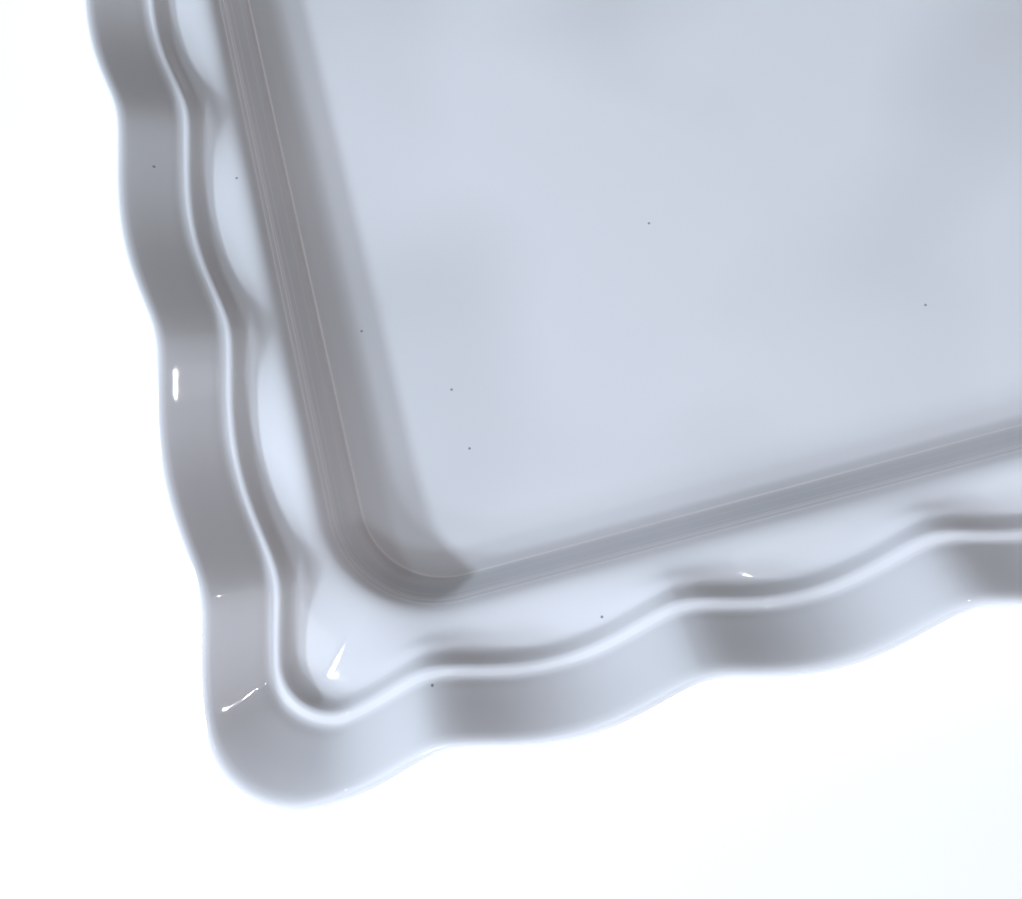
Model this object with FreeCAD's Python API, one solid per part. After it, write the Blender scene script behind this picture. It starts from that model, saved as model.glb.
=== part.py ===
import FreeCAD, Part
import math
import os

# China serving platter: one rectangular porcelain tray with a scalloped, stepped rim.
# The body is divided where the clay changes direction. Each zone is a solid of its own
# and meets its neighbours face to face: foot ring, well floor, well wall, rim ledge,
# rim step, rim flare and rim lip.
# Frame: +X along the long side, +Z up, origin at the centre of the foot's resting plane.
# All lengths are in millimetres.

# --- Scalloped outline -------------------------------------------------------------------
LOBE_PITCH_X = 41.0        # one scallop on the long sides
LOBE_PITCH_Y = 44.6        # one scallop on the short sides
LOBES_X = 7                # scallops between the corner scallops of a long side
LOBES_Y = 4                # scallops between the corner scallops of a short side
CORNER_REACH = 34.2        # from a corner to the nearest notch on either side
CORNER_LOBE = 38.0         # pitch of the half scallops that lead into a corner
SCALLOP_DEPTH = 4.8        # depth of the scallops before their notches are rounded
NOTCH_SOFTNESS = 0.33      # rounding of the notches, as a share of the depth
DISH = 0.6                 # how far a line falls for each millimetre that it bulges out

LONG_RUN = LOBES_X * LOBE_PITCH_X
SHORT_RUN = LOBES_Y * LOBE_PITCH_Y
HALF_X = LONG_RUN / 2 + CORNER_REACH
HALF_Y = SHORT_RUN / 2 + CORNER_REACH

# --- Section through the rim and the well ------------------------------------------------
# Each row is one line that runs all the way round the platter:
# (inset from the middle outline, height, corner radius, share of the scallops).
# The rows climb from the well floor over the rim and come back along the underside.
FLOOR_TOP = 7.0
FLOOR_UNDER = 3.0
SECTION = [
    (28.6, FLOOR_TOP, 15.0, 0.00),      # 0  edge of the flat floor
    (27.4, 7.30, 15.4, 0.00),           # 1  fillet at the foot of the wall
    (26.4, 8.25, 15.9, 0.00),           # 2
    (25.0, 10.30, 16.8, 0.00),          # 3  well wall
    (23.8, 12.25, 18.0, 0.00),          # 4
    (22.7, 13.50, 19.2, 0.00),          # 5  rounded top of the wall
    (21.1, 14.25, 20.0, 0.03),          # 6
    (18.3, 14.45, 15.5, 0.42),          # 7  ledge
    (15.8, 14.55, 9.6, 0.90),           # 8
    (14.2, 14.80, 7.8, 1.00),           # 9  foot of the step
    (13.2, 15.60, 7.8, 1.00),           # 10 step
    (12.2, 16.18, 8.6, 1.00),           # 11 bead along the top of the step
    (10.9, 16.08, 9.5, 0.98),           # 12
    (9.4, 16.52, 10.1, 0.98),           # 13 foot of the flare
    (6.0, 18.20, 11.0, 1.00),           # 14 flare
    (2.6, 19.84, 11.9, 1.00),           # 15
    (1.2, 20.18, 12.3, 1.00),           # 16 top of the lip
    (0.3, 19.66, 12.5, 1.00),           # 17
    (0.0, 18.60, 12.6, 1.00),           # 18 outermost line
    (0.45, 17.45, 12.5, 1.00),          # 19
    (1.7, 16.70, 12.2, 1.00),           # 20 under the lip
    (5.0, 15.30, 11.6, 1.00),           # 21 underside of the flare
    (9.5, 13.20, 10.8, 1.00),           # 22
    (13.0, 11.80, 10.6, 0.95),          # 23
    (16.0, 11.00, 12.6, 0.60),          # 24 underside of the ledge
    (19.2, 10.15, 16.0, 0.15),          # 25
    (21.3, 8.30, 16.8, 0.00),           # 26 outside of the well wall
    (22.8, 5.65, 16.4, 0.00),           # 27
    (24.2, 3.65, 15.6, 0.00),           # 28
    (26.0, FLOOR_UNDER, 15.0, 0.00),    # 29 edge of the flat underside
]

# The zones between those lines, each with the first and last line of its upper face and
# of its lower face. The face of the lip runs round the edge, so it has no lower pair.
ZONES = [
    ("well_wall", (0, 6), (25, 29)),
    ("rim_ledge", (6, 9), (23, 25)),
    ("rim_step", (9, 12), (22, 23)),
    ("rim_flare", (12, 15), (21, 22)),
    ("rim_lip", (15, 21), None),
]

# --- Foot ring ---------------------------------------------------------------------------
FOOT_INSET = 27.4          # from the middle outline to the foot's outer face, at its root
FOOT_ROOT_WIDTH = 6.6
FOOT_TIP_WIDTH = 3.6       # the bare band that the platter rests on
FOOT_EDGE_RADIUS = 0.5
FOOT_CORNER_RADIUS = 15.0

# --- How closely the lines are followed --------------------------------------------------
POINTS_PER_LOBE = 8
POINTS_PER_CORNER = 56     # over a corner and one scallop on each side of it
CORNER_STEP = 2.2          # mean distance between the points of a corner
POINTS_PER_PANEL = 7
NODE_FOLDER = "parts"


def scallop(lobes_from_notch):
    """Outward bulge at a distance from a notch, counted in scallops.

    It is measured from the line midway between the notches and the crests.
    """
    rounded = math.hypot(math.sin(math.pi * lobes_from_notch), NOTCH_SOFTNESS)
    midway = (NOTCH_SOFTNESS + math.hypot(1, NOTCH_SOFTNESS)) / 2
    return SCALLOP_DEPTH * (rounded - midway)


def bulge_along(distance, quarter):
    """Bulge at a distance from the middle of a long side, on a line of one quarter."""
    past_long = distance - LONG_RUN / 2
    past_short = quarter - distance - SHORT_RUN / 2
    if past_long <= 0:
        return scallop(past_long / LOBE_PITCH_X)
    if past_short <= 0:
        return scallop(past_short / LOBE_PITCH_Y)
    return scallop(min(past_long / CORNER_LOBE, past_short / CORNER_LOBE, 0.5))


def quarter_length(inset, radius):
    """Length of a line from the middle of a long side to the middle of a short side."""
    return HALF_X + HALF_Y - 2 * (inset + radius) + radius * math.pi / 2


def line_point(distance, inset, height, radius, scallop_share):
    """The point of a line at a distance from the middle of the -Y side, towards +X."""
    straight_x = HALF_X - inset - radius
    straight_y = HALF_Y - inset - radius
    arc = radius * math.pi / 2
    turn = min(max((distance - straight_x) / radius, 0), math.pi / 2)
    bulge = scallop_share * bulge_along(distance, quarter_length(inset, radius))
    reach = radius + bulge
    x = min(distance, straight_x) + reach * math.sin(turn)
    y = max(distance - straight_x - arc, 0) - straight_y - reach * math.cos(turn)
    return FreeCAD.Vector(x, y, height - DISH * bulge)


def quarter_distances(quarter):
    """Distances of a line's points over one quarter, both ends included."""
    corner_start = LONG_RUN / 2 - LOBE_PITCH_X
    corner_end = quarter - SHORT_RUN / 2 + LOBE_PITCH_Y
    count_long = round(POINTS_PER_LOBE * corner_start / LOBE_PITCH_X)
    count_short = round(POINTS_PER_LOBE * (quarter - corner_end) / LOBE_PITCH_Y)
    stretches = [
        (0, corner_start, count_long),
        (corner_start, corner_end, POINTS_PER_CORNER),
        (corner_end, quarter, count_short),
    ]
    distances = [0]
    for start, end, count in stretches:
        distances += [start + (end - start) * (i + 1) / count for i in range(count)]
    return distances


def whole_line(row):
    """Points of one line of the section, once round the platter."""
    inset, height, radius, scallop_share = row
    distances = quarter_distances(quarter_length(inset, radius))
    quarter = [line_point(d, inset, height, radius, scallop_share) for d in distances]
    mirrored = [FreeCAD.Vector(p.x, -p.y, p.z) for p in reversed(quarter[1:-1])]
    half = quarter + mirrored
    turned = [FreeCAD.Vector(-p.x, -p.y, p.z) for p in half]
    first_end = FreeCAD.Vector(quarter[0].x, -quarter[0].y, quarter[0].z)
    return half + [first_end] + turned[1:]


def round_parameters():
    """One parameter for each point of a line, in step with its mean spacing."""
    long_step = LOBE_PITCH_X / POINTS_PER_LOBE
    short_step = LOBE_PITCH_Y / POINTS_PER_LOBE
    long_count = round(POINTS_PER_LOBE * (LOBES_X / 2 - 1))
    short_count = round(POINTS_PER_LOBE * (LOBES_Y / 2 - 1))
    quarter = [long_step] * long_count
    quarter += [CORNER_STEP] * POINTS_PER_CORNER
    quarter += [short_step] * short_count
    steps = (quarter + quarter[::-1]) * 2
    parameters = [0.0]
    for step in steps:
        parameters.append(parameters[-1] + step)
    return parameters


def section_parameters():
    """One parameter for each line of the section: the distance along the section."""
    parameters = [0.0]
    for before, after in zip(SECTION, SECTION[1:]):
        parameters.append(parameters[-1] + math.dist(before[:2], after[:2]))
    return parameters


def round_splines():
    """The lines of the section as closed splines that share one set of knots."""
    lines = []
    for row in SECTION:
        line = Part.BSplineCurve()
        line.interpolate(Points=whole_line(row), PeriodicFlag=True,
                         Parameters=round_parameters())
        lines.append(line)
    return lines


def stretch_of(curve, start, end):
    """The part of a spline between two of its parameters."""
    stretch = curve.copy()
    stretch.segment(start, end)
    return stretch


class Panel:
    """The section over a short stretch of the way round, as one net of control points."""

    def __init__(self, lines, start, end):
        rows = [stretch_of(line, start, end) for line in lines]
        self.around = rows[0]
        self.at = section_parameters()
        self.columns = []
        for column in zip(*[row.getPoles() for row in rows]):
            curve = Part.BSplineCurve()
            curve.interpolate(Points=list(column), Parameters=self.at)
            self.columns.append(curve)

    def face(self, rows, across):
        """A face from a net of control points over the panel."""
        surface = Part.BSplineSurface()
        surface.buildFromPolesMultsKnots(
            rows, self.around.getMultiplicities(), across.getMultiplicities(),
            self.around.getKnots(), across.getKnots(), False, False,
            self.around.Degree, across.Degree)
        return surface.toShape()

    def skin(self, first, last):
        """The outer face of the clay between two lines of the section."""
        pieces = [stretch_of(c, self.at[first], self.at[last]) for c in self.columns]
        return self.face([piece.getPoles() for piece in pieces], pieces[0])

    def joint(self, one, other):
        """The ruled face inside the clay between two lines, where two zones meet."""
        rows = [[c.value(self.at[one]), c.value(self.at[other])] for c in self.columns]
        across = Part.BSplineCurve()
        across.buildFromPolesMultsKnots(rows[0], [2, 2], [0, 1], False, 1)
        return self.face(rows, across)


def make_panels():
    """All the panels, once round the platter."""
    lines = round_splines()
    at = round_parameters()
    starts = range(0, len(at) - 1, POINTS_PER_PANEL)
    return [Panel(lines, at[i], at[i + POINTS_PER_PANEL]) for i in starts]


def closed_solid(faces):
    """One solid from faces that meet along their edges."""
    shell = Part.makeShell(faces)
    shell.sewShape()
    solid = Part.makeSolid(Part.makeShell(shell.Faces))
    if solid.Volume < 0:
        solid.reverse()
    return solid


def zone_solid(panels, upper, lower):
    """One zone of the section, from its glazed faces and its inner faces."""
    faces = []
    for panel in panels:
        faces.append(panel.skin(*upper))
        if lower is None:
            faces.append(panel.joint(*upper))
        else:
            faces.append(panel.skin(*lower))
            faces.append(panel.joint(upper[0], lower[1]))
            faces.append(panel.joint(upper[1], lower[0]))
    return closed_solid(faces)


def floor_solid(panels):
    """The flat floor slab, inside the foot of the well wall."""
    sides = [panel.joint(0, len(SECTION) - 1) for panel in panels]
    caps = []
    for height in (FLOOR_TOP, FLOOR_UNDER):
        level = [edge for side in sides for edge in side.Edges
                 if abs(edge.BoundBox.ZMin - height) + abs(edge.BoundBox.ZMax - height) < 0.1]
        caps.append(Part.Face(Part.Wire(Part.__sortEdges__(level))))
    return closed_solid(sides + caps)


def rounded_rectangle(half_x, half_y, radius, height):
    """A closed wire of straight sides and quarter arcs, at a height."""
    plate = Part.makePlane(2 * half_x, 2 * half_y, FreeCAD.Vector(-half_x, -half_y, height))
    block = plate.extrude(FreeCAD.Vector(0, 0, 1))
    upright = [e for e in block.Edges if abs(e.tangentAt(e.FirstParameter).z) > 0.99]
    block = block.makeFillet(radius, upright)
    low_face = min(block.Faces, key=lambda face: face.CenterOfMass.z)
    return low_face.OuterWire


def foot_ring():
    """The tapered ring under the floor, with its bare resting band rounded off."""
    taper = (FOOT_ROOT_WIDTH - FOOT_TIP_WIDTH) / 2
    outlines = []
    for inset in (FOOT_INSET, FOOT_INSET + FOOT_ROOT_WIDTH):
        direction = 1 if inset == FOOT_INSET else -1
        radius = FOOT_CORNER_RADIUS - (inset - FOOT_INSET)
        root = rounded_rectangle(HALF_X - inset, HALF_Y - inset, radius, FLOOR_UNDER)
        tip_inset = inset + direction * taper
        tip_radius = radius - direction * taper
        tip = rounded_rectangle(HALF_X - tip_inset, HALF_Y - tip_inset, tip_radius, 0)
        outlines.append(Part.makeLoft([root, tip], True, True))
    ring = outlines[0].cut(outlines[1])
    tip_edges = [edge for edge in ring.Edges if edge.BoundBox.ZMax < 1e-6]
    return ring.makeFillet(FOOT_EDGE_RADIUS, tip_edges)


def build():
    """Every node of the platter, by name."""
    panels = make_panels()
    nodes = {"foot_ring": foot_ring(), "well_floor": floor_solid(panels)}
    for name, upper, lower in ZONES:
        nodes[name] = zone_solid(panels, upper, lower)
    return nodes


os.makedirs(NODE_FOLDER, exist_ok=True)
for node_name, shape in build().items():
    shape.exportStep(os.path.join(NODE_FOLDER, node_name + ".step"))
    print(node_name, shape.isValid(), len(shape.Solids), round(shape.Volume / 1000, 2), "cm3")
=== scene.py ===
import math

import bpy
import numpy as np
from mathutils import Matrix, Vector, noise
from mathutils.geometry import delaunay_2d_cdt


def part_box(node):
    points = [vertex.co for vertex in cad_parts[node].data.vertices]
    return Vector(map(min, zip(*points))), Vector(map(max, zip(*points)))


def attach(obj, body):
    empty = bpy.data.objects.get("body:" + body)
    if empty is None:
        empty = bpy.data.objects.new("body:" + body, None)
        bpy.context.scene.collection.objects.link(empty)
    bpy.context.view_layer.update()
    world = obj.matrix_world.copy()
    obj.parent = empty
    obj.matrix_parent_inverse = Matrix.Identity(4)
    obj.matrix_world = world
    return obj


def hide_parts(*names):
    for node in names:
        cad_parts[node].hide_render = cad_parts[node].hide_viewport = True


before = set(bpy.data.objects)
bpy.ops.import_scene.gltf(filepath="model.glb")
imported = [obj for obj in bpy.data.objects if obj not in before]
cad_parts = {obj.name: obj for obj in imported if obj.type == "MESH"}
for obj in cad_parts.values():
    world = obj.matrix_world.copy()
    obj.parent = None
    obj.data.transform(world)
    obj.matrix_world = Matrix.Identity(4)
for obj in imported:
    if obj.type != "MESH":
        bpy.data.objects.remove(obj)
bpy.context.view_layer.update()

# White glazed porcelain platter. The rim and the well are one skin, sampled finely round
# the platter and across its section, and cut into the same zones as the CAD model, so
# that the glaze runs on from one zone to the next. Lengths in this part are millimetres.

MM = 0.001

# --- Outline, as in the CAD model ----------------------------------------------------------
LOBE_PITCH_X = 41.0
LOBE_PITCH_Y = 44.6
LOBES_X = 7
LOBES_Y = 4
CORNER_REACH = 34.2
CORNER_LOBE = 38.0
SCALLOP_DEPTH = 4.8
NOTCH_SOFTNESS = 0.33
DISH = 0.6
LONG_RUN = LOBES_X * LOBE_PITCH_X
SHORT_RUN = LOBES_Y * LOBE_PITCH_Y
HALF_X = LONG_RUN / 2 + CORNER_REACH
HALF_Y = SHORT_RUN / 2 + CORNER_REACH

# --- Section: inset, height, corner radius, share of the scallops --------------------------
FLOOR_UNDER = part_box("well_floor")[0].z / MM
FLOOR_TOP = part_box("well_floor")[1].z / MM
SECTION = [
    (28.6, FLOOR_TOP, 15.0, 0.00),
    (27.4, 7.30, 15.4, 0.00),
    (26.4, 8.25, 15.9, 0.00),
    (25.0, 10.30, 16.8, 0.00),
    (23.8, 12.25, 18.0, 0.00),
    (22.7, 13.50, 19.2, 0.00),
    (21.1, 14.25, 20.0, 0.03),
    (18.3, 14.45, 15.5, 0.42),
    (15.8, 14.55, 9.6, 0.90),
    (14.2, 14.80, 7.8, 1.00),
    (13.2, 15.60, 7.8, 1.00),
    (12.2, 16.18, 8.6, 1.00),
    (10.9, 16.08, 9.5, 0.98),
    (9.4, 16.52, 10.1, 0.98),
    (6.0, 18.20, 11.0, 1.00),
    (2.6, 19.84, 11.9, 1.00),
    (1.2, 20.18, 12.3, 1.00),
    (0.3, 19.66, 12.5, 1.00),
    (0.0, 18.60, 12.6, 1.00),
    (0.45, 17.45, 12.5, 1.00),
    (1.7, 16.70, 12.2, 1.00),
    (5.0, 15.30, 11.6, 1.00),
    (9.5, 13.20, 10.8, 1.00),
    (13.0, 11.80, 10.6, 0.95),
    (16.0, 11.00, 12.6, 0.60),
    (19.2, 10.15, 16.0, 0.15),
    (21.3, 8.30, 16.8, 0.00),
    (22.8, 5.65, 16.4, 0.00),
    (24.2, 3.65, 15.6, 0.00),
    (26.0, FLOOR_UNDER, 15.0, 0.00),
]
ZONES = [
    ("well_wall", (0, 6), (25, 29)),
    ("rim_ledge", (6, 9), (23, 25)),
    ("rim_step", (9, 12), (22, 23)),
    ("rim_flare", (12, 15), (21, 22)),
    ("rim_lip", (15, 21), None),
]

# --- Sampling ------------------------------------------------------------------------------
STATIONS_PER_LOBE = 24
STATIONS_PER_CORNER = 160
ROW_SPACING = 0.62
CLOSEST_ROWS = 0.04             # of two rows nearer than this, one is dropped
LINE_ROWS = (-2, -1, 0, 1, 2)   # extra rows over a mould line
LINE_ROW_STEP = 0.6             # their spacing, in half widths of the line

# --- Fine detail ---------------------------------------------------------------------------
# Relief lines along the section: place, height and half width. First the mould lines on the
# well wall, which also get a painted highlight in the glaze colour, and then the bead along
# the top of the step.
MOULD_LINES = [(1.05, 0.070, 0.19), (3.1, 0.014, 0.14), (5.6, 0.020, 0.12),
               (6.9, 0.036, 0.12), (7.5, 0.052, 0.12), (8.5, 0.044, 0.13)]
BEAD_RELIEF = [(20.3, 0.13, 0.75), (22.2, -0.11, 0.85)]
GLAZE_WAVES = [(0.035, 21.0), (0.015, 8.0)]     # height and wavelength of the glaze's swell
FLOOR_WAVES = [(0.10, 70.0), (0.02, 18.0)]      # the same for the flat floor
EDGE_CALM = 2.0                 # relief fades out over this distance from the skin's edges
LIP_LINE = 18                   # the line of the section that reaches farthest out
LIP_CALM = 1.5                  # and within about this distance of that line
FULL_GLINT_HEIGHT = 0.06                # height of a mould line from which on it gets the full painted highlight


def scallop(lobes_from_notch):
    """Outward bulge of the outline, inwards at the notches and outwards at mid-lobe."""
    rounded = np.hypot(np.sin(np.pi * lobes_from_notch), NOTCH_SOFTNESS)
    midway = (NOTCH_SOFTNESS + math.hypot(1, NOTCH_SOFTNESS)) / 2
    return SCALLOP_DEPTH * (rounded - midway)


def bulge_along(distance, quarter):
    """Outward bulge at a distance from the middle of a long side."""
    past_long = distance - LONG_RUN / 2
    past_short = quarter - distance - SHORT_RUN / 2
    corner = np.minimum(np.minimum(past_long, past_short) / CORNER_LOBE, 0.5)
    bulge = scallop(corner)
    bulge = np.where(past_short <= 0, scallop(past_short / LOBE_PITCH_Y), bulge)
    return np.where(past_long <= 0, scallop(past_long / LOBE_PITCH_X), bulge)


def quarter_distances(quarter):
    """Distances of the stations of one quarter, from a long side's middle to a short one's."""
    corner_start = LONG_RUN / 2 - LOBE_PITCH_X
    corner_end = quarter - SHORT_RUN / 2 + LOBE_PITCH_Y
    long_count = round(STATIONS_PER_LOBE * (LOBES_X / 2 - 1))
    short_count = round(STATIONS_PER_LOBE * (LOBES_Y / 2 - 1))
    return np.concatenate([
        np.linspace(0, corner_start, long_count, endpoint=False),
        np.linspace(corner_start, corner_end, STATIONS_PER_CORNER, endpoint=False),
        np.linspace(corner_end, quarter, short_count + 1),
    ])


def closed_line(inset, height, radius, scallop_share):
    """Points once round the platter, as an array of stations by X, Y and Z."""
    arc = radius * math.pi / 2
    straight_x = HALF_X - inset - radius
    straight_y = HALF_Y - inset - radius
    quarter = straight_x + straight_y + arc
    distance = quarter_distances(quarter)
    bulge = scallop_share * bulge_along(distance, quarter)
    turn = np.clip((distance - straight_x) / radius, 0, math.pi / 2)
    reach = radius + bulge
    x = np.minimum(distance, straight_x) + reach * np.sin(turn)
    y = np.maximum(distance - straight_x - arc, 0) - straight_y - reach * np.cos(turn)
    first = np.stack([x, y, height - DISH * bulge], axis=1)
    half = np.concatenate([first, first[-2:0:-1] * (1, -1, 1)])
    return np.concatenate([half, first[:1] * (1, -1, 1), half[1:] * (-1, -1, 1)])


def smooth_curve(knots, values, at):
    """A natural cubic spline through values at knots, read at other places."""
    knots, values = np.array(knots, float), np.array(values, float)
    gap = np.diff(knots)
    rise = np.diff(values, axis=0) / gap[:, None]
    count = len(knots)
    matrix = np.eye(count)
    right = np.zeros_like(values)
    for i in range(1, count - 1):
        matrix[i, i - 1:i + 2] = gap[i - 1], 2 * (gap[i - 1] + gap[i]), gap[i]
        right[i] = 6 * (rise[i] - rise[i - 1])
    bend = np.linalg.solve(matrix, right)
    span = np.clip(np.searchsorted(knots, at, side="right") - 1, 0, count - 2)
    width = gap[span][:, None]
    after = (np.array(at) - knots[span])[:, None]
    before = width - after
    cubic = (bend[span] * before ** 3 + bend[span + 1] * after ** 3) / (6 * width)
    linear = (values[span] / width - bend[span] * width / 6) * before
    linear += (values[span + 1] / width - bend[span + 1] * width / 6) * after
    return cubic + linear


def section_places():
    """Distance along the section of each of its lines."""
    steps = [math.dist(a[:2], b[:2]) for a, b in zip(SECTION, SECTION[1:])]
    return np.concatenate([[0], np.cumsum(steps)])


def row_places(places):
    """Places of all sampled rows, with extra rows at the mould lines; and each line's row."""
    rows = []
    for start, end in zip(places, places[1:]):
        count = max(2, round((end - start) / ROW_SPACING))
        rows += list(np.linspace(start, end, count, endpoint=False))
    rows.append(places[-1])
    for centre, _, half_width in MOULD_LINES:
        for step in LINE_ROWS:
            rows.append(centre + step * half_width * LINE_ROW_STEP)
    rows = np.unique(np.round(rows, 4))
    keep = np.ones(len(rows), bool)
    fixed = np.isin(rows, np.round(places, 4))
    for i in range(1, len(rows)):
        if rows[i] - rows[i - 1] < CLOSEST_ROWS:
            keep[i if not fixed[i] else i - 1] = False
    rows = rows[keep]
    return rows, [int(np.argmin(abs(rows - place))) for place in places]


def swell(points, waves):
    """Height of the glaze's slow unevenness at each point."""
    flat = points.reshape(-1, 3)
    total = np.zeros(len(flat))
    for height, length in waves:
        total += [height * noise.noise(Vector(p / length)) for p in flat]
    return total.reshape(points.shape[:-1])


def grid_normals(grid):
    """Unit normals of a grid of rows by stations, closed round the stations."""
    round_way = np.roll(grid, -1, axis=1) - np.roll(grid, 1, axis=1)
    across = np.gradient(grid, axis=0)
    normals = np.cross(across, round_way)
    return normals / np.linalg.norm(normals, axis=2, keepdims=True)


def ridge(rows, centre, half_width):
    """How much of a relief line's height each row has."""
    return np.exp(-((rows - centre) / half_width) ** 2)


def make_skin():
    """The skin of rim and well: points, normals, each line's row, and the share of painted
    highlight along the mould lines.
    """
    places = section_places()
    rows, line_rows = row_places(places)
    shape = smooth_curve(places, SECTION, rows)
    grid = np.array([closed_line(*row) for row in shape])
    normals = grid_normals(grid)
    lift = swell(grid, GLAZE_WAVES)
    for centre, height, half_width in MOULD_LINES + BEAD_RELIEF:
        lift += height * ridge(rows, centre, half_width)[:, None]
    calm = np.clip(np.minimum(rows, rows[-1] - rows) / EDGE_CALM, 0, 1)[:, None]
    lip = ridge(rows, places[LIP_LINE], LIP_CALM)[:, None]
    grid = grid + normals * (lift * calm * (1 - lip))[:, :, None]
    # Painted highlight: how much paler each row is along the mould lines, standing in for the
    # glints on them.
    pale = sum(ridge(rows, centre, half_width) * min(1, height / FULL_GLINT_HEIGHT)
               for centre, height, half_width in MOULD_LINES)
    return grid, grid_normals(grid), line_rows, pale


def mesh_object(name, points, faces, vertex_normals, smooth):
    """A mesh in metres; smooth says which faces take the given vertex normals."""
    mesh = bpy.data.meshes.new(name)
    mesh.from_pydata((np.array(points) * MM).tolist(), [], [tuple(f) for f in faces])
    mesh.validate()
    mesh.update()
    mesh.polygons.foreach_set("use_smooth", list(smooth))
    loops = []
    for polygon, is_smooth in zip(mesh.polygons, smooth):
        for vertex in polygon.vertices:
            loops.append(vertex_normals[vertex] if is_smooth else polygon.normal)
    mesh.normals_split_custom_set(loops)
    piece = bpy.data.objects.new(name, mesh)
    bpy.context.scene.collection.objects.link(piece)
    return piece


def ring_faces(row_count, station_count, offset=0, closed=True):
    """Quads of a band of rows; closed joins the last row to the first."""
    faces = []
    last = row_count if closed else row_count - 1
    for row in range(last):
        here = offset + row * station_count
        there = offset + ((row + 1) % row_count) * station_count
        for i in range(station_count):
            j = (i + 1) % station_count
            faces.append((here + i, there + i, there + j, here + j))
    return faces


def zone_piece(name, upper, lower, skin):
    """One zone as a closed ring: its glazed rows, joined inside the clay."""
    grid, normals, line_rows, pale = skin
    rows = list(range(line_rows[upper[0]], line_rows[upper[1]] + 1))
    inner_gaps = {len(rows) - 1}
    if lower is not None:
        rows += range(line_rows[lower[0]], line_rows[lower[1]] + 1)
        inner_gaps.add(len(rows) - 1)
    stations = grid.shape[1]
    faces = ring_faces(len(rows), stations)
    smooth = [face // stations not in inner_gaps for face in range(len(faces))]
    points = grid[rows].reshape(-1, 3)
    piece = mesh_object(name, points, faces, normals[rows].reshape(-1, 3), smooth)
    # Painted highlight share along the mould lines, read by the glaze material.
    thin_glaze = piece.data.attributes.new("thin_glaze", "FLOAT", "POINT")
    thin_glaze.data.foreach_set("value", np.repeat(pale[rows], stations))
    return piece


# --- Flat caps: steps inwards of their rings, and the spacing of their inner points ----------
TOP_RINGS = (1.0, 2.4, 4.4, 7.0)
TOP_SPACING = 4.0
UNDER_RINGS = (1.4, 4.0, 8.0)
UNDER_SPACING = 8.0
CORNER_MARGIN = 0.3             # clear of the last ring, by this share of its corner radius
EDGE_MARGIN = 0.6               # and by this share of the spacing
ROW_SHIFT = 0.25                # every other row of points is shifted, in spacings
SAME_POINT = 1e-6


def cap(edge, line, height, rise, ring_steps, spacing):
    """A flat cap inside a closed edge: a few rings, then a triangulated middle.

    The line is the edge's own line of the section, and rise is the share of the floor's
    waves that the cap has. Returns points and faces; the points start with the edge itself.
    """
    stations = len(edge)
    inset, _, radius, _ = line
    rings = [closed_line(inset + step, height, radius, 0.0) for step in ring_steps]
    points = [edge] + rings
    faces = [face[::-1] for face in ring_faces(len(points), stations, closed=False)]
    inner = rings[-1]
    offset = (len(points) - 1) * stations
    low, high = inner[:, :2].min(0), inner[:, :2].max(0)
    margin = radius * CORNER_MARGIN + spacing * EDGE_MARGIN
    xs = np.arange(low[0] + margin, high[0] - margin, spacing)
    ys = np.arange(low[1] + margin, high[1] - margin, spacing)
    lattice = [(x + ROW_SHIFT * spacing * (k % 2), y) for k, y in enumerate(ys) for x in xs]
    flat = [Vector(p[:2]) for p in inner] + [Vector(p) for p in lattice]
    loop = [(i, (i + 1) % stations) for i in range(stations)]
    verts, _, triangles, origins, _, _ = delaunay_2d_cdt(flat, loop, [], 1, SAME_POINT)
    index = {}
    extra = []
    for k, origin in enumerate(origins):
        if origin[0] < stations:
            index[k] = offset + origin[0]
        else:
            index[k] = offset + stations + len(extra)
            extra.append((verts[k].x, verts[k].y, height))
    faces += [tuple(index[k] for k in triangle) for triangle in triangles]
    points = np.concatenate(points + [np.array(extra)])
    calm = np.ones(len(points))
    calm[:stations] = 0
    points[:, 2] += rise * calm * swell(points, FLOOR_WAVES)
    return points, faces


def triangle_normals(points, faces):
    """Smooth vertex normals of a cap."""
    normals = np.zeros_like(points)
    for face in faces:
        corners = points[list(face)]
        normal = np.cross(corners[1] - corners[0], corners[2] - corners[0])
        for vertex in face:
            normals[vertex] += normal
    return normals / np.maximum(np.linalg.norm(normals, axis=1, keepdims=True), 1e-12)


def floor_piece(skin):
    """The floor slab: a faintly uneven top, a flat underside and the side in the clay."""
    grid, normals, _, _ = skin
    top, top_faces = cap(grid[0], SECTION[0], FLOOR_TOP, 1.0, TOP_RINGS, TOP_SPACING)
    under, under_faces = cap(grid[-1], SECTION[-1], FLOOR_UNDER, 0.0,
                             UNDER_RINGS, UNDER_SPACING)
    stations = grid.shape[1]
    under_faces = [face[::-1] for face in under_faces]
    top_normals = triangle_normals(top, top_faces)
    under_normals = triangle_normals(under, under_faces)
    top_normals[:stations] = normals[0]
    under_normals[:stations] = normals[-1]
    base = len(top)
    side = [(i, base + i, base + (i + 1) % stations, (i + 1) % stations)
            for i in range(stations)]
    faces = top_faces + [tuple(base + v for v in face) for face in under_faces] + side
    smooth = [True] * (len(faces) - stations) + [False] * stations
    return mesh_object("well_floor_glaze", np.concatenate([top, under]), faces,
                       np.concatenate([top_normals, under_normals]), smooth)


# --- Foot ring: (inset from its outer face, height), from the outer root to the inner ------
FOOT_INSET = 27.4
FOOT_WIDTH = 6.6
FOOT_CORNER_RADIUS = 15.0
BAND_HEIGHT = 0.55
STEPS_PER_SIDE = 4
FOOT_SIDES = [(-0.9, 3.0), (-0.25, 2.82), (0.12, 2.4), (0.6, 1.5), (1.12, BAND_HEIGHT)]
BAND_EDGE = [(1.12, BAND_HEIGHT), (1.2, 0.3), (1.38, 0.1), (1.7, 0.0)]


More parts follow.
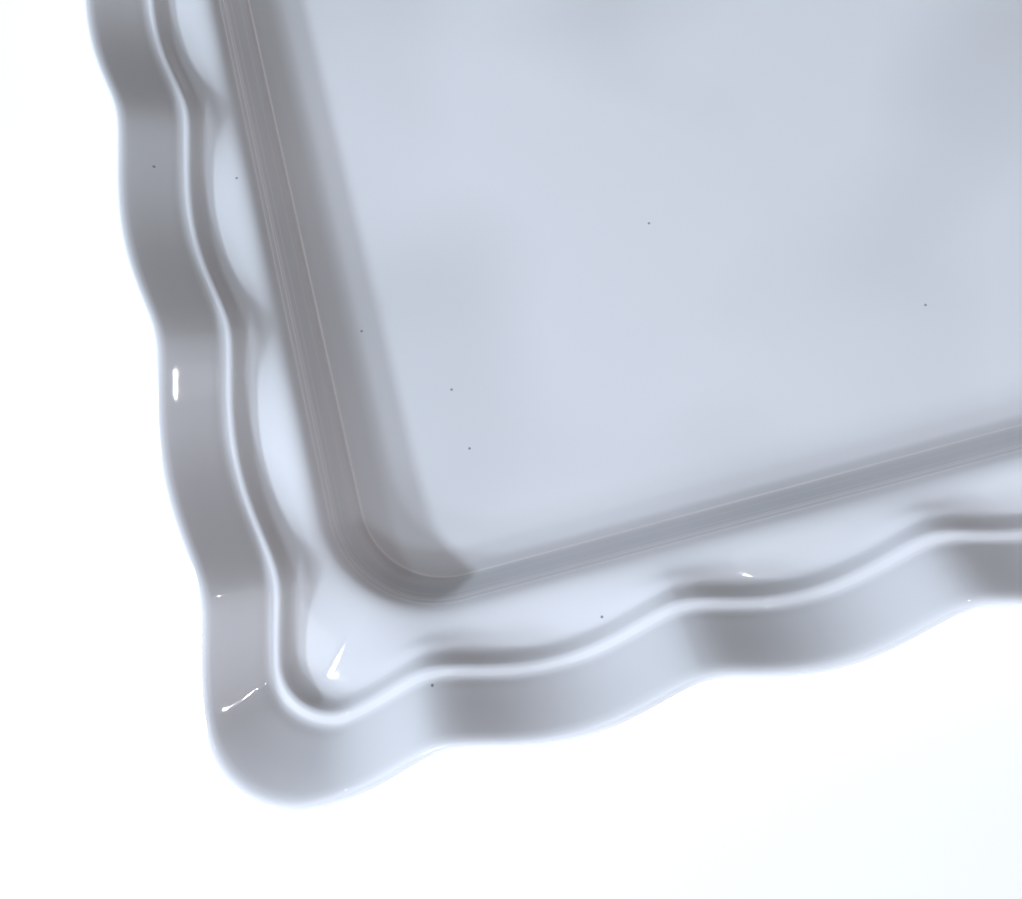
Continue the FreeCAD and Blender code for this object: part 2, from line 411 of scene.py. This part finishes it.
def foot_rows(profile):
    """A profile on the outer side and its mirror image on the inner side."""
    fine = []
    for (a, b), (c, d) in zip(profile, profile[1:]):
        fine += [(a + (c - a) * t / STEPS_PER_SIDE, b + (d - b) * t / STEPS_PER_SIDE)
                 for t in range(STEPS_PER_SIDE)]
    fine.append(profile[-1])
    inner = [(FOOT_WIDTH - step, height) for step, height in reversed(fine)]
    return [closed_line(FOOT_INSET + step, height, FOOT_CORNER_RADIUS - step, 0.0)
            for step, height in fine + inner]


def foot_ring():
    """The glazed foot and, under it, the bare band that it rests on."""
    made = []
    for name, profile in (("foot_ring_glaze", FOOT_SIDES), ("foot_ring_band", BAND_EDGE)):
        grid = np.array(foot_rows(profile))
        stations = grid.shape[1]
        normals = grid_normals(grid)
        faces = ring_faces(len(grid), stations)
        half = len(grid) // 2
        hidden = {len(grid) - 1}
        if profile is FOOT_SIDES:
            hidden.add(half - 1)
        smooth = [face // stations not in hidden for face in range(len(faces))]
        made.append(mesh_object(name, grid.reshape(-1, 3), faces,
                                normals.reshape(-1, 3), smooth))
    return made


# --- Materials -----------------------------------------------------------------------------
GLAZE_COLOUR = (0.79, 0.80, 0.83, 1)
# Painted reflection: the glaze colour is mixed towards this darker colour in soft blotches,
# which stand in for the room's cloudy reflections in the glaze.
PAINTED_REFLECTION_TINT = (0.65, 0.665, 0.685, 1)
# Painted highlight: the paler colour along the mould lines, standing in for their glints.
PAINTED_GLINT_COLOUR = (0.97, 0.95, 0.96, 1)
GLAZE_IOR = 1.52
GLAZE_ROUGHNESS = (0.035, 0.085)
GLOSS_AND_BLOTCH_SCALE = 15.0
REFLECTION_BLOTCH_RANGE = (0.42, 0.66)
PEEL_SCALE = 420.0
PEEL_STRENGTH = 0.05
PEEL_DEPTH = 0.0002
SPECK_COLOUR = (0.30, 0.27, 0.25, 1)
SPECK_CELLS = 70.0              # cells per metre, a few of which hold a speck
SPECK_CHOICE = 0.93             # a cell holds one if its own random value is over this
SPECK_EDGE = (0.020, 0.012)     # from clear to full colour, in cells from the middle
CLAY_COLOUR = (0.72, 0.70, 0.66, 1)
CLAY_DARK = (0.56, 0.53, 0.48, 1)
CLAY_ROUGHNESS = 0.75
MOTTLE_SCALE = 60.0
MOTTLE_RANGE = (0.4, 0.8)
GRAIN_SCALE = 900.0
GRAIN_STRENGTH = 0.35
GRAIN_DEPTH = 0.0001

# Sockets of the Mix node that share a name, by number: colour inputs, colour output.
MIX_FACTOR, MIX_FIRST, MIX_SECOND, MIX_COLOUR = 0, 6, 7, 2


def node_material(name):
    """A new material with its nodes, its links and its shader."""
    material = bpy.data.materials.new(name)
    material.use_nodes = True
    nodes = material.node_tree.nodes
    return material, nodes, material.node_tree.links, nodes["Principled BSDF"]


def add(nodes, kind, **values):
    """A node with its settings; a value named in_SOCKET sets that input instead."""
    node = nodes.new(kind)
    for key, value in values.items():
        if key.startswith("in_"):
            node.inputs[key.removeprefix("in_").replace("_", " ")].default_value = value
        else:
            setattr(node, key, value)
    return node


def ramp(nodes, start, end, start_value=0.0, end_value=1.0, **settings):
    """A node that maps start to start_value and end to end_value, and clamps outside."""
    return add(nodes, "ShaderNodeMapRange", in_From_Min=start, in_From_Max=end,
               in_To_Min=start_value, in_To_Max=end_value, **settings)


def colour_mix(nodes, first=None, second=None):
    mix = add(nodes, "ShaderNodeMix", data_type="RGBA")
    for socket, colour in ((MIX_FIRST, first), (MIX_SECOND, second)):
        if colour is not None:
            mix.inputs[socket].default_value = colour
    return mix


def glaze_material():
    """Clear gloss glaze over white porcelain, with orange peel, a few iron specks, painted
    reflection blotches and a painted highlight along the mould lines.
    """
    material, nodes, links, shader = node_material("porcelain_glaze")
    place = add(nodes, "ShaderNodeTexCoord")
    gloss_and_blotch_noise = add(nodes, "ShaderNodeTexNoise", in_Scale=GLOSS_AND_BLOTCH_SCALE, in_Detail=1.5)
    soften = ramp(nodes, *REFLECTION_BLOTCH_RANGE)
    # Painted reflection: darker blotches mixed into the colour stand in for cloudy reflections
    # of the room; the same noise also varies the roughness.
    reflection_blotches = colour_mix(nodes, GLAZE_COLOUR, PAINTED_REFLECTION_TINT)
    gloss = ramp(nodes, 0.0, 1.0, *GLAZE_ROUGHNESS)
    cells = add(nodes, "ShaderNodeTexVoronoi", voronoi_dimensions="2D", in_Scale=SPECK_CELLS)
    red = add(nodes, "ShaderNodeSeparateColor")
    chosen = add(nodes, "ShaderNodeMath", operation="GREATER_THAN")
    chosen.inputs[1].default_value = SPECK_CHOICE
    dot = ramp(nodes, *SPECK_EDGE)
    speck = add(nodes, "ShaderNodeMath", operation="MULTIPLY")
    specked = colour_mix(nodes, second=SPECK_COLOUR)
    # Painted highlight along the mould lines, in place of their glints.
    thin = add(nodes, "ShaderNodeAttribute", attribute_name="thin_glaze")
    paler = colour_mix(nodes, second=PAINTED_GLINT_COLOUR)
    peel = add(nodes, "ShaderNodeTexNoise", in_Scale=PEEL_SCALE, in_Detail=2.0)
    bump = add(nodes, "ShaderNodeBump", in_Strength=PEEL_STRENGTH, in_Distance=PEEL_DEPTH)
    for texture in (gloss_and_blotch_noise, cells, peel):
        links.new(place.outputs["Object"], texture.inputs["Vector"])
    links.new(gloss_and_blotch_noise.outputs["Fac"], soften.inputs["Value"])
    links.new(soften.outputs["Result"], reflection_blotches.inputs[MIX_FACTOR])
    links.new(cells.outputs["Color"], red.inputs["Color"])
    links.new(red.outputs["Red"], chosen.inputs[0])
    links.new(cells.outputs["Distance"], dot.inputs["Value"])
    links.new(dot.outputs["Result"], speck.inputs[0])
    links.new(chosen.outputs["Value"], speck.inputs[1])
    links.new(speck.outputs["Value"], specked.inputs[MIX_FACTOR])
    links.new(reflection_blotches.outputs[MIX_COLOUR], specked.inputs[MIX_FIRST])
    links.new(thin.outputs["Fac"], paler.inputs[MIX_FACTOR])
    links.new(specked.outputs[MIX_COLOUR], paler.inputs[MIX_FIRST])
    links.new(paler.outputs[MIX_COLOUR], shader.inputs["Base Color"])
    links.new(gloss_and_blotch_noise.outputs["Fac"], gloss.inputs["Value"])
    links.new(gloss.outputs["Result"], shader.inputs["Roughness"])
    links.new(peel.outputs["Fac"], bump.inputs["Height"])
    links.new(bump.outputs["Normal"], shader.inputs["Normal"])
    shader.inputs["IOR"].default_value = GLAZE_IOR
    return material


def clay_material():
    """Bare porcelain, ground flat: fine grain, a little kiln grit in it."""
    material, nodes, links, shader = node_material("bare_porcelain")
    place = add(nodes, "ShaderNodeTexCoord")
    grain = add(nodes, "ShaderNodeTexNoise", in_Scale=GRAIN_SCALE, in_Detail=4.0)
    mottle = add(nodes, "ShaderNodeTexNoise", in_Scale=MOTTLE_SCALE, in_Detail=3.0)
    spread = ramp(nodes, *MOTTLE_RANGE)
    mix = colour_mix(nodes, CLAY_COLOUR, CLAY_DARK)
    bump = add(nodes, "ShaderNodeBump", in_Strength=GRAIN_STRENGTH, in_Distance=GRAIN_DEPTH)
    for texture in (grain, mottle):
        links.new(place.outputs["Object"], texture.inputs["Vector"])
    links.new(mottle.outputs["Fac"], spread.inputs["Value"])
    links.new(spread.outputs["Result"], mix.inputs[MIX_FACTOR])
    links.new(mix.outputs[MIX_COLOUR], shader.inputs["Base Color"])
    links.new(grain.outputs["Fac"], bump.inputs["Height"])
    links.new(bump.outputs["Normal"], shader.inputs["Normal"])
    shader.inputs["Roughness"].default_value = CLAY_ROUGHNESS
    return material


# --- Stage, lights and camera --------------------------------------------------------------
STAGE_HALF = 4.0
STAGE_DROP = 0.0001             # the floor stays clear of the foot by this
STAGE_COLOUR = (0.95, 0.93, 0.91, 1)
STAGE_ROUGHNESS = 0.9
STAGE_GLOW_COLOUR = (1.0, 0.99, 0.97, 1)
STAGE_GLOW_REACH = (0.30, 1.20)     # the floor's glow grows between these distances
STAGE_GLOW = (0.12, 0.72)           # from the first strength to the second


def stage_floor():
    """A large pale floor under the foot, with a glow of its own that evens it far out."""
    mesh = bpy.data.meshes.new("stage_floor")
    half = STAGE_HALF
    corners = [(-half, -half), (half, -half), (half, half), (-half, half)]
    mesh.from_pydata([(x, y, -STAGE_DROP) for x, y in corners], [], [(0, 1, 2, 3)])
    floor = bpy.data.objects.new("stage_floor", mesh)
    bpy.context.scene.collection.objects.link(floor)
    material, nodes, links, shader = node_material("stage_white")
    place = add(nodes, "ShaderNodeTexCoord")
    away = add(nodes, "ShaderNodeVectorMath", operation="LENGTH")
    glow = ramp(nodes, *STAGE_GLOW_REACH, *STAGE_GLOW, interpolation_type="SMOOTHSTEP")
    links.new(place.outputs["Object"], away.inputs[0])
    links.new(away.outputs["Value"], glow.inputs["Value"])
    links.new(glow.outputs["Result"], shader.inputs["Emission Strength"])
    shader.inputs["Base Color"].default_value = STAGE_COLOUR
    shader.inputs["Roughness"].default_value = STAGE_ROUGHNESS
    shader.inputs["Emission Color"].default_value = STAGE_GLOW_COLOUR
    mesh.materials.append(material)


LAMP_DISTANCE = 1.6
LAMP_TARGET = Vector((-0.1, -0.06, 0.01))
COOL = (0.75, 0.86, 1.0)
PLAIN = (0.94, 0.95, 1.0)
WARM = (1.0, 0.90, 0.91)
# name, azimuth in degrees from +X towards +Y, elevation, width, height, power and colour
LAMPS = [
    ("key_left", 181, 21.8, 0.09, 0.09, 18.5, COOL),
    ("key_left_high", 165, 33.0, 0.15, 0.15, 3.6, COOL),
    ("key_corner", 210, 26.0, 0.12, 0.12, 7.7, COOL),
    ("key_corner_low", 225, 20.0, 0.12, 0.12, 5.6, COOL),
    ("front", 255, 33.0, 0.15, 0.15, 4.6, COOL),
    ("panel_front_left", 235, 52.0, 1.40, 1.40, 6.2, PLAIN),
    ("panel_front_right", 310, 50.0, 1.60, 1.60, 4.2, WARM),
    ("strip_right", 22, 11.0, 1.80, 0.20, 0.6, WARM),
    ("panel_back_left", 135, 18.0, 0.90, 0.90, 0.6, WARM),
    ("window_left", 188, 64.0, 0.025, 0.05, 0.30, PLAIN),
    ("window_right", 350, 64.0, 0.04, 0.02, 0.25, PLAIN),
]


def add_lamp(name, azimuth, elevation, width, height, power, colour):
    """A soft lamp round the platter, turned to face it."""
    light = bpy.data.lights.new(name, "AREA")
    light.shape = "ELLIPSE"
    light.size = width
    light.size_y = height
    light.energy = power
    light.color = colour
    lamp = bpy.data.objects.new(name, light)
    bpy.context.scene.collection.objects.link(lamp)
    up, round_way = math.radians(elevation), math.radians(azimuth)
    way = Vector((math.cos(up) * math.cos(round_way), math.cos(up) * math.sin(round_way),
                  math.sin(up)))
    lamp.location = LAMP_TARGET + way * LAMP_DISTANCE
    lamp.rotation_euler = way.to_track_quat("Z", "Y").to_euler()


ROOM_COLOUR = (1.0, 0.985, 0.98, 1)
BACKDROP = 0.93                 # how bright the room is where the camera sees it
PATCH_SCALE = 3.1
PATCH_RANGE = (0.53, 0.74)      # noise from the edge to the middle of a soft patch
PATCHES = 0.28                  # how bright a patch is in its middle
HORIZON_RANGE = (0.10, 0.34)    # sine of the elevation, over which the walls' glow ends
HORIZON = 0.42                  # how bright that glow is

# Sockets of the Mix node for plain numbers.
MIX_FIRST_NUMBER, MIX_SECOND_NUMBER = 2, 3


def pale_room():
    """A pale room: walls that glow near the horizon, and faint soft patches all round."""
    world = bpy.data.worlds.new("room")
    world.use_nodes = True
    nodes, links = world.node_tree.nodes, world.node_tree.links
    way = add(nodes, "ShaderNodeTexCoord")
    noisy = add(nodes, "ShaderNodeTexNoise", in_Scale=PATCH_SCALE, in_Detail=1.0)
    patches = ramp(nodes, *PATCH_RANGE, 0.0, PATCHES, interpolation_type="SMOOTHSTEP")
    upward = add(nodes, "ShaderNodeSeparateXYZ")
    horizon = ramp(nodes, *HORIZON_RANGE, HORIZON, 0.0, interpolation_type="SMOOTHSTEP")
    both = add(nodes, "ShaderNodeMath", operation="ADD")
    ray = add(nodes, "ShaderNodeLightPath")
    seen = add(nodes, "ShaderNodeMix", data_type="FLOAT")
    seen.inputs[MIX_SECOND_NUMBER].default_value = BACKDROP
    background = nodes["Background"]
    links.new(way.outputs["Generated"], noisy.inputs["Vector"])
    links.new(noisy.outputs["Fac"], patches.inputs["Value"])
    links.new(way.outputs["Generated"], upward.inputs["Vector"])
    links.new(upward.outputs["Z"], horizon.inputs["Value"])
    links.new(patches.outputs["Result"], both.inputs[0])
    links.new(horizon.outputs["Result"], both.inputs[1])
    links.new(both.outputs["Value"], seen.inputs[MIX_FIRST_NUMBER])
    links.new(ray.outputs["Is Camera Ray"], seen.inputs[MIX_FACTOR])
    links.new(seen.outputs[0], background.inputs["Strength"])
    background.inputs["Color"].default_value = ROOM_COLOUR
    bpy.context.scene.world = world


# The camera looks down on the front left corner. Right and down are the directions in the
# platter's frame that run to the right and down in the picture.
CAMERA_PLACE = (-121.31, -107.46, 146.22)
CAMERA_RIGHT = (0.96561, -0.25313, -0.05935)
CAMERA_DOWN = (-0.25997, -0.94289, -0.20826)
FOCAL_PIXELS = 800.0
IMAGE_WIDTH = 1022.0
SENSOR_WIDTH = 36.0
NEAREST_SEEN = 0.005


def add_camera():
    """The camera at the photograph's angle, with depth of field left off."""
    camera = bpy.data.cameras.new("camera")
    camera.sensor_width = SENSOR_WIDTH
    camera.lens = FOCAL_PIXELS / IMAGE_WIDTH * SENSOR_WIDTH
    camera.clip_start = NEAREST_SEEN
    holder = bpy.data.objects.new("camera", camera)
    bpy.context.scene.collection.objects.link(holder)
    right = Vector(CAMERA_RIGHT).normalized()
    up = -Vector(CAMERA_DOWN).normalized()
    back = right.cross(up)
    rotation = Matrix((right, up, back)).transposed().to_4x4()
    holder.matrix_world = Matrix.Translation(Vector(CAMERA_PLACE) * MM) @ rotation
    bpy.context.scene.camera = holder


def dress(piece, material, slot, *nodes):
    """Material, body and replaced CAD nodes of one piece; slot is not used."""
    piece.data.materials.append(material)
    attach(piece, "root")
    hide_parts(*nodes)


def build():
    """All pieces of the platter."""
    glaze = glaze_material()
    clay = clay_material()
    skin = make_skin()
    for name, upper, lower in ZONES:
        piece = zone_piece(name + "_glaze", upper, lower, skin)
        dress(piece, glaze, "white_glaze", name)
    dress(floor_piece(skin), glaze, "white_glaze", "well_floor")
    foot, band = foot_ring()
    dress(foot, glaze, "white_glaze", "foot_ring")
    dress(band, clay, "bare_foot", "foot_ring")


def light():
    for lamp in LAMPS:
        add_lamp(*lamp)
    pale_room()


add_camera()
build()
light()
stage_floor()
bpy.context.scene.view_settings.view_transform = "Standard"
